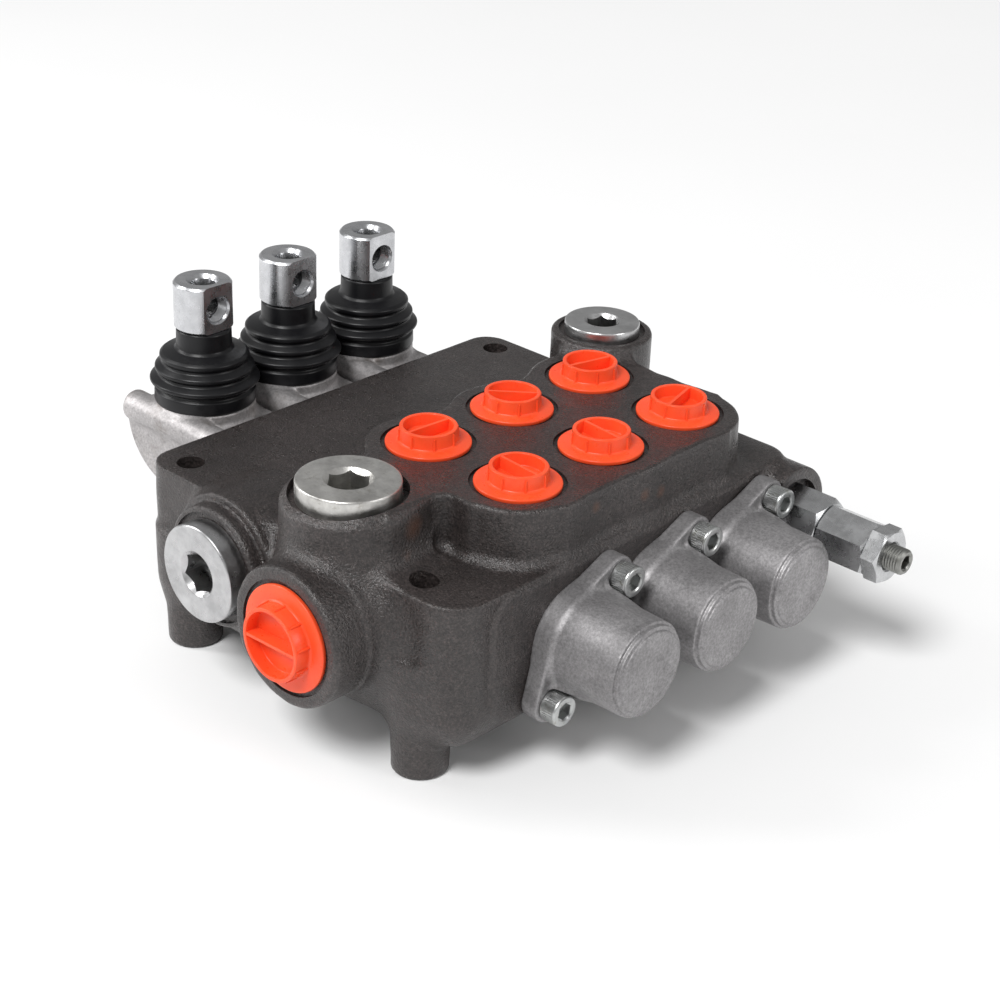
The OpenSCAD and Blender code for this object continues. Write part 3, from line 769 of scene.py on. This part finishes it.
def housing_field(g):
    """A lever housing in the row's frame, moved so that its spool is at y 0."""
    x, y, z = g.x, g.y, g.z
    side = np.minimum(disc(x - LEVER_X, z - 54.0, 23.2),
                      rounded_rect(x + 80.5, z - 57.0, 13.5, 30.0, 0.01))
    side = rounded_both(side, z - 56.5, 1.2)
    side = rounded_both(side, 27.0 - z, 1.2)
    solid = extrude(side, y, -16.5, 16.5, 1.3)
    solid = join(solid, extrude(disc(y, z - SPOOL_Z, 12.8), x, -110.0, BACK_X, 1.0), 2.0)
    solid = join(solid, extrude(disc(x - LEVER_X, y, 17.2), z, 42.0, 61.5, 0.8), 2.5)
    solid = join(solid, extrude(disc(x - LEVER_X, y, 15.2), z, 55.0, 66.0, 0.6), 0.8)
    for s in (-1, 1):
        barrel = disc(y + s * LUG[0], z - SPOOL_Z - s * ARM_DZ, 5.4)
        barrel = extrude(barrel, x, -115.0, BACK_X, 0.8)
        solid = join(solid, barrel, 2.0)
    solid = np.maximum(solid, x - BACK_X)
    return np.maximum(solid, z - 66.0)


def make_housings():
    """The three lever housings. Known fault, kept as it is: the lower
    barrel reaches below this grid, so the mesh is open there and the boolean is refused."""
    g = Grid((-118.5, -21.5, 23.5), (-65.8, 21.5, 67.5), 0.42)
    points, quads = surface(g, housing_field(g))
    base = decimate(new_object("housing", points, quads), 90_000)
    angles = [math.pi * k / 24 for k in range(25)]
    ball = [(9.3 * math.sin(a), 57.5 - 9.3 * math.cos(a)) for a in angles]
    tools = [
        put(rod(10.6, -109.5, -66, 64), (0, 0, SPOOL_Z), "+x"),
        put(rod(7.2, SPOOL_Z, 52, 64), (LEVER_X, 0, 0)),
        put(lathe("ball", ball, 64), (LEVER_X, 0, 0)),
        put(rod(11, 58.5, 67.5, 64), (LEVER_X, 0, 0)),
    ]
    for s in (-1, 1):
        at = (0, -s * LUG[0], SPOOL_Z + s * ARM_DZ)
        tools.append(put(rod(2.75, -116, -66, 32), at, "+x"))
        tools.append(put(rod(4.5, -116, HOUSING_SCREW_X, 48), at, "+x"))
    boolean(base, union(tools))
    smooth(base, 34, NEVER_FLAT)
    for i, py in enumerate(SPOOL_Y, 1):
        part = copy_of(base, (0, py, 0), name=f"lever_housing_{i}_cast")
        dress(part, HOUSING_CASTING, "valve", "housing_casting", f"lever_housing_{i}")
    bpy.data.objects.remove(base)


# ---- screws and plugs ------------------------------------------------------------------


def socket_screw(d, head_d, head_h, shank, flats):
    """A socket head cap screw along +Z with the underside of its head at z 0."""
    r, top = head_d / 2, head_h
    profile = arcs([(0, -shank), (d / 2 - 0.5, -shank), (d / 2, -shank + 0.6), (d / 2, 0), (r, 0),
                    (r, top), (flats * 0.66, top), (flats * 0.56, top - 0.35), (0, top - 0.35)],
                   [0, 0, 0, 0.2, 0.3, 0.7, 0.15, 0, 0])
    screw = lathe("screw", profile, 64)
    boolean(screw, prism(flats, top - flats * 0.62, top + 1, 15))
    for k in range(40):
        a = 2 * math.pi * k / 40
        groove = put(rod(0.16, 0.9, top - 0.9, 6), (r * math.cos(a), r * math.sin(a), 0))
        boolean(screw, groove)
    return smooth(screw, 30)


def screw_set(name, node, base, x, dy, dz, axis, turn):
    """Two copies of a screw across each spool, as one piece."""
    screws = []
    for i, py in enumerate(SPOOL_Y):
        for s in (-1, 1):
            at = (x, py + s * dy, SPOOL_Z + s * dz)
            screws.append(copy_of(base, at, axis, turn=turn * (2 * i + s)))
    bpy.data.objects.remove(base)
    dress(merge(name, screws), SCREW_ZINC, "valve", "plated_steel", node)


def make_screws():
    screw_set("cap_screw_set", "cap_screws", socket_screw(6, 10, 6, 18, 5),
              FACE_X + CAP_FLANGE, *LUG, "+x", 25)
    screw_set("housing_screw_set", "housing_screws", socket_screw(5, 8.5, 5, 54.5, 4),
              HOUSING_SCREW_X, -LUG[0], ARM_DZ, "-x", 17)


def steel_plug(name, head_d, head_h, thread_r, thread_len, flats, turn):
    """A socket plug along +Z, its seat at z 0."""
    r = head_d / 2
    mouth = flats * 0.64
    profile = arcs([(0, -thread_len), (thread_r - 1, -thread_len), (thread_r, -thread_len + 1),
                    (thread_r, 0), (r, 0), (r, head_h), (mouth, head_h), (flats * 0.5, head_h - 1.6),
                    (0, head_h - 1.6)], [0, 0, 0, 0.3, 0.4, 0.9, 0.35, 0, 0], 5)
    plug = lathe(name, profile, 128)
    boolean(plug, prism(flats, head_h - flats * 0.75, head_h + 1, turn))
    drill_tip = rod(flats * 0.1, head_h - flats * 0.95, head_h - flats * 0.7, 48, flats * 0.46)
    boolean(plug, drill_tip)
    return smooth(plug, 30)


def make_plugs():
    plug = steel_plug("top_inlet_plug", 32, 6.8, 13, 12.2, 12, 12)
    put(plug, (*TOP_IN, TOP_SEAT_Z))
    dress(plug, TOP_PLUG, "valve", "plug_steel", "inlet_top_plug")
    plug = steel_plug("side_inlet_plug", 32, 7, 13, 12, 12, 20)
    put(plug, (SIDE_PLUG[0], SIDE_SEAT_Y, SIDE_PLUG[1]), "-y")
    dress(plug, SIDE_STEEL, "valve", "plug_steel", "inlet_side_plug")
    plug = steel_plug("tank_port_plug", 26, 4.4, 10.5, 13, 10, 15)
    put(plug, (*TANK, TANK_SEAT_Z))
    dress(plug, TANK_STEEL, "valve", "plug_steel", "tank_plug")


# ---- plastic port caps ---------------------------------------------------------------------


def plastic_cap(flange_r, ring_r, plug_r, plug_len, bar_angle, ring_h, ribs):
    """A moulded closure along +Z with its flange underside at z 0."""
    profile = arcs(
        [(0, 1.2), (plug_r - 1.5, 1.2), (plug_r - 1.5, -plug_len), (plug_r - 0.3, -plug_len),
         (plug_r, 0), (flange_r, 0), (flange_r + 0.1, 1.5), (ring_r + 0.9, 1.75), (ring_r + 0.2, 2.2),
         (ring_r, ring_h), (ring_r - 1.25, ring_h), (ring_r - 1.35, 2.6), (0, 2.4)],
        [0, 0.3, 0.3, 0.3, 0.2, 0.45, 0.5, 0.2, 0.5, 0.3, 0.3, 0.4, 0], 3)
    parts = [lathe("cap", profile, 128)]
    bar = block((-ring_r + 0.6, -0.5, 1.6), (ring_r - 0.6, 0.5, ring_h - 0.15))
    bar.data.transform(Matrix.Rotation(math.radians(bar_angle), 4, "Z"))
    parts.append(bar)
    for k in range(ribs):
        a = 2 * math.pi * k / ribs + 0.2
        rib = rod(0.55, 1.6, ring_h - 0.9, 16, 0.3)
        parts.append(put(rib, ((ring_r + 0.15) * math.cos(a), (ring_r + 0.15) * math.sin(a), 0)))
    return smooth(union(parts), 36)


# how the work ports' closures were screwed in, in degrees: the bar of each, and a slight lean
BAR_TURNS = ((85, 43, 76), (-4, -7, 105))
LEANS = (0.6, -0.8, 0.5)


def make_port_caps():
    caps = []
    for px, bars, lean_axis in zip(PORT_X, BAR_TURNS, "XY"):
        for py, bar, lean in zip(SPOOL_Y, bars, LEANS):
            cap = plastic_cap(13.5, 9.1, 9.4, 10, bar, 6.6, 8)
            cap.data.transform(Matrix.Rotation(math.radians(lean), 4, lean_axis))
            caps.append(put(cap, (px, py, PORT_Z - 0.95)))
    dress(merge("port_cap_set", caps), PLASTIC, "valve", "port_plastic", "work_port_caps")
    cap = plastic_cap(17, 11.7, 13, 12, 2, 7, 10)
    put(cap, (INLET[0], INLET_SEAT_Y, INLET[1]), "-y")
    cap.name = "side_inlet_cap"
    dress(cap, PLASTIC, "valve", "port_plastic", "inlet_port_cap")


# ---- levers -------------------------------------------------------------------------------------


# a boot's section as (radius, z), up the outside and down the inside
BOOT = [(15.3, 61.6), (17.2, 61.6), (17.4, 62.2), (17.3, 65.9), (16.4, 66.7), (16.6, 67.5),
        (18.8, 69.0), (18.7, 70.0), (16.3, 71.3), (15.9, 72.1), (17.0, 73.2), (16.9, 74.2),
        (14.9, 75.5), (14.5, 76.2), (15.3, 77.3), (15.2, 78.4), (14.2, 79.2), (10.2, 80.2),
        (9.5, 81.2), (9.4, 87.1), (8.9, 87.7), (6.1, 87.7), (6.1, 79.2), (12.8, 77.8),
        (13.0, 77.2), (12.9, 75.8), (14.6, 74.4), (14.6, 73.6), (13.9, 72.4), (14.2, 71.0),
        (16.6, 69.8), (16.6, 69.2), (15.3, 68.0), (15.3, 66.4)]


def lever_block():
    """The round block that takes the hand lever, along +Z at its true height."""
    low, top = 87.9, 104.5
    r = 10.0
    profile = arcs([(0, low), (r - 0.7, low), (r, low + 0.7), (r, top - 0.8), (r - 0.8, top),
                    (5.6, top), (4.35, top - 1.3), (4.25, top - 1.5), (4.25, 94.2), (0, 93.9)],
                   [0, 0.2, 0.3, 0.3, 0.3, 0.15, 0, 0, 0, 0])
    body = lathe("lever_block", profile, 96)
    boolean(body, block((7.9, -12, 86), (12, 12, 106)))
    boolean(body, put(rod(3.1, 0, 4, 48), (0, 0, CROSS_Z), "+x"))
    turns = [(0, 3.2)]
    for k in range(5):
        turns += [(3.85, 3.2 + 0.8 * k), (4.3, 3.6 + 0.8 * k)]
    turns += [(4.4, 7.2), (5.1, 8.0), (5.1, 8.4), (0, 8.4)]
    boolean(body, put(lathe("cross_hole", turns, 64), (0, 0, CROSS_Z), "+x"))
    boolean(body, rod(3.45, 87, 93.2, 48))
    mod = body.modifiers.new("edge", "BEVEL")
    mod.width, mod.segments, mod.limit_method = 0.25 * MM, 2, "ANGLE"
    mod.angle_limit = math.radians(40)
    baked(body)
    return smooth(body, 30)


def make_levers():
    top = lever_block()
    for i, py in enumerate(SPOOL_Y, 1):
        part = copy_of(top, (LEVER_X, py, 0), name=f"lever_{i}_head")
        dress(part, ZINC_BLOCK, f"lever_{i}", "plated_steel", f"lever_block_{i}")
        profile = arcs(BOOT, 0.8, 3, closed=True)
        boot = lathe(f"lever_{i}_bellows", profile, 96)
        put(boot, (LEVER_X, py, 0))
        smooth(boot, 60, NEVER_FLAT)
        dress(boot, RUBBER, None, "boot_rubber")
        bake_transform(boot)
        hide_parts(f"lever_boot_{i}")
    bpy.data.objects.remove(top)


# ---- relief valve -------------------------------------------------------------------------------


def hexagon(name, flats, lo, hi, turn, crown_lo, crown_hi):
    """A hexagon bar whose end corners are turned away at 30 degrees."""
    bar = prism(flats, lo, hi, turn)
    r = flats / math.sqrt(3) + 0.02
    crown = r - flats / 2 + 0.25
    drop = crown * TAN_30
    rim, bottom, top = r + 0.2, lo - 0.01, hi + 0.01
    profile = [(0, bottom)]
    profile += [(r - crown, bottom), (rim, lo + drop + 0.12)] if crown_lo else [(rim, bottom)]
    profile += [(rim, hi - drop - 0.12), (r - crown, top)] if crown_hi else [(rim, top)]
    profile.append((0, top))
    boolean(bar, lathe("crown", profile, 96), "INTERSECT")
    bar.name = name
    return bar


def on_relief(obj):
    """obj, built along +Z with z for x, on the relief valve's axis."""
    return put(obj, (0, *RELIEF), "+x")


def make_relief():
    body = hexagon("relief_seat_body", 19, 79.05, 96.45, 41, False, True)
    shank = lathe("shank", arcs([(0, 66.5), (7.4, 66.5), (8, 67.1), (8, 80), (0, 80)], 0), 64)
    boolean(body, shank, "UNION")
    for tool in (rod(4.6, 69, 98, 48), rod(2.2, 66, 70, 32), rod(7.05, 90, 98, 64)):
        boolean(body, tool)
    dress(smooth(on_relief(body), 25), RELIEF_ZINC, "valve", "plated_steel", "relief_body")

    cap = hexagon("relief_sleeve", 17, 96.5, 115.2, 3.5, True, True)
    boolean(cap, rod(7, 90.1, 97.5, 64), "UNION")
    boolean(cap, rod(4.8, 89, 104.2, 48))
    boolean(cap, rod(4.45, 103, 116, 48))
    dress(smooth(on_relief(cap), 25), RELIEF_ZINC, "valve", "plated_steel", "relief_cap")

    nut = hexagon("relief_lock", 17, 115.3, 121.0, 24, False, True)
    boolean(nut, rod(4.45, 114, 122, 48))
    boolean(nut, rod(4.45, 120.2, 121.3, 48, 5.6))
    dress(smooth(on_relief(nut), 25), RELIEF_ZINC, "valve", "plated_steel", "relief_locknut")

    r, root, pitch = 4.4, 4.4 - 0.28, 1.0
    profile = [(0, 101.6), (3.9, 101.6)]
    z = 102.0
    while z < 125.6:
        profile += [(root, z), (r, z + 0.42), (r, z + 0.58)]
        z += pitch
    profile += [(root, z), (r - 0.1, 126.1), (r - 0.7, 126.8), (0, 126.8)]
    screw = lathe("relief_adjuster_screw", profile, 64)
    boolean(screw, prism(4.5, 123.3, 128, 10))
    boolean(screw, rod(2.4, 126.3, 127, 32, 3.1))
    dress(smooth(on_relief(screw), 25), DARK_STEEL, "relief_adjuster", "adjuster_steel", "relief_screw")


# ---- the parts that stay as packed ---------------------------------------------------------------


def dress_frame():
    special = {"spool_seals": RUBBER, "spring_seats": ZINC}
    for name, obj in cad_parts.items():
        obj.data.materials.clear()
        obj.data.materials.append(special.get(name, HIDDEN_STEEL))


# ---- springs -----------------------------------------------------------------------------------


def spring(node, axis):
    """A copy of a CAD spring's mesh that stands in for the node, which is hidden; the ends of its
    box along axis are found but not used."""
    obj = bpy.data.objects.new(f"{node}_coil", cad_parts[node].data.copy())
    bpy.context.scene.collection.objects.link(obj)
    low, high = (Vector(corner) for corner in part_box(node))
    centre = (low + high) / 2
    ends = [centre.copy(), centre.copy()]
    ends[0][axis], ends[1][axis] = low[axis], high[axis]
    dress(obj, HIDDEN_STEEL, None, "spring_steel")
    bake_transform(obj)
    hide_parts(node)


def make_springs():
    for i in (1, 2, 3):
        spring(f"inner_spring_{i}", 0)
        spring(f"outer_spring_{i}", 0)
    spring("check_spring", 1)
    spring("relief_spring", 0)


# ---- scene -------------------------------------------------------------------------------------


FLOOR = 6000.0  # half its side
FLOOR_Z = -0.2
# the camera that was fitted to the photograph: azimuth, elevation and roll in degrees, then mm
CAMERA_ANGLES = (41.2, 27.1, 2.9)
CAMERA_TARGET = (30.186, 1.071, 54.286)
CAMERA_DISTANCE = 676.51


def area(name, at, target, size, power):
    """A rectangular lamp at a point in m that looks at another."""
    lamp = bpy.data.lights.new(name, "AREA")
    lamp.shape, lamp.size, lamp.size_y = "RECTANGLE", size[0], size[1]
    lamp.energy = power
    obj = bpy.data.objects.new(name, lamp)
    obj.location = at
    obj.rotation_euler = (Vector(target) - Vector(at)).to_track_quat("-Z", "Y").to_euler()
    bpy.context.scene.collection.objects.link(obj)


def make_scene():
    scene = bpy.context.scene
    floor_mat = Nodes("studio_floor")
    shade = floor_mat.ramp(floor_mat.noise(3.0, 2.0), [(0.3, 0.86), (0.7, 0.88)])
    floor_mat.finish(shade, Roughness=0.7)
    floor = new_object("floor", [(sx * FLOOR, sy * FLOOR, FLOOR_Z)
                                 for sx, sy in ((-1, -1), (1, -1), (1, 1), (-1, 1))], [(0, 1, 2, 3)])
    floor.data.materials.append(floor_mat.mat)

    world = bpy.data.worlds.new("studio")
    world.use_nodes = True
    sky = world.node_tree.nodes["Background"]
    sky.inputs["Color"].default_value = (1, 1, 1, 1)
    sky.inputs["Strength"].default_value = 0.36
    scene.world = world
    sun = bpy.data.lights.new("sun", "SUN")
    sun.energy, sun.angle = 2.55, math.radians(22)
    lamp = bpy.data.objects.new("sun", sun)
    lamp.rotation_euler = Vector((-0.15, 0.75, -1.0)).to_track_quat("-Z", "Y").to_euler()
    scene.collection.objects.link(lamp)
    area("left", (-0.75, -0.55, 0.55), (0, 0, 0.05), (0.25, 0.7), 4.5)
    area("right", (0.95, 0.25, 0.5), (0.03, 0, 0.05), (0.3, 0.5), 2.5)
    scene.view_settings.view_transform = "Standard"

    az, el, roll = (math.radians(a) for a in CAMERA_ANGLES)
    back = Vector((math.sin(az) * math.cos(el), -math.cos(az) * math.cos(el), math.sin(el)))
    right = Vector((0, 0, 1)).cross(back).normalized()
    up = back.cross(right)
    r = right * math.cos(roll) + up * math.sin(roll)
    u = -right * math.sin(roll) + up * math.cos(roll)
    lens = bpy.data.cameras.new("camera")
    lens.sensor_width, lens.lens = 36.0, 75.6
    lens.shift_x, lens.shift_y = -0.0325, 0.0076
    lens.clip_start, lens.clip_end = 0.01, 20
    camera = bpy.data.objects.new("camera", lens)
    place = Matrix((r, u, back)).transposed().to_4x4()
    place.translation = (Vector(CAMERA_TARGET) + back * CAMERA_DISTANCE) * MM
    camera.matrix_world = place
    scene.collection.objects.link(camera)
    scene.camera = camera


dress_frame()
make_springs()
make_body()
make_caps()
make_housings()
make_screws()
make_plugs()
make_port_caps()
make_levers()
make_relief()
make_scene()
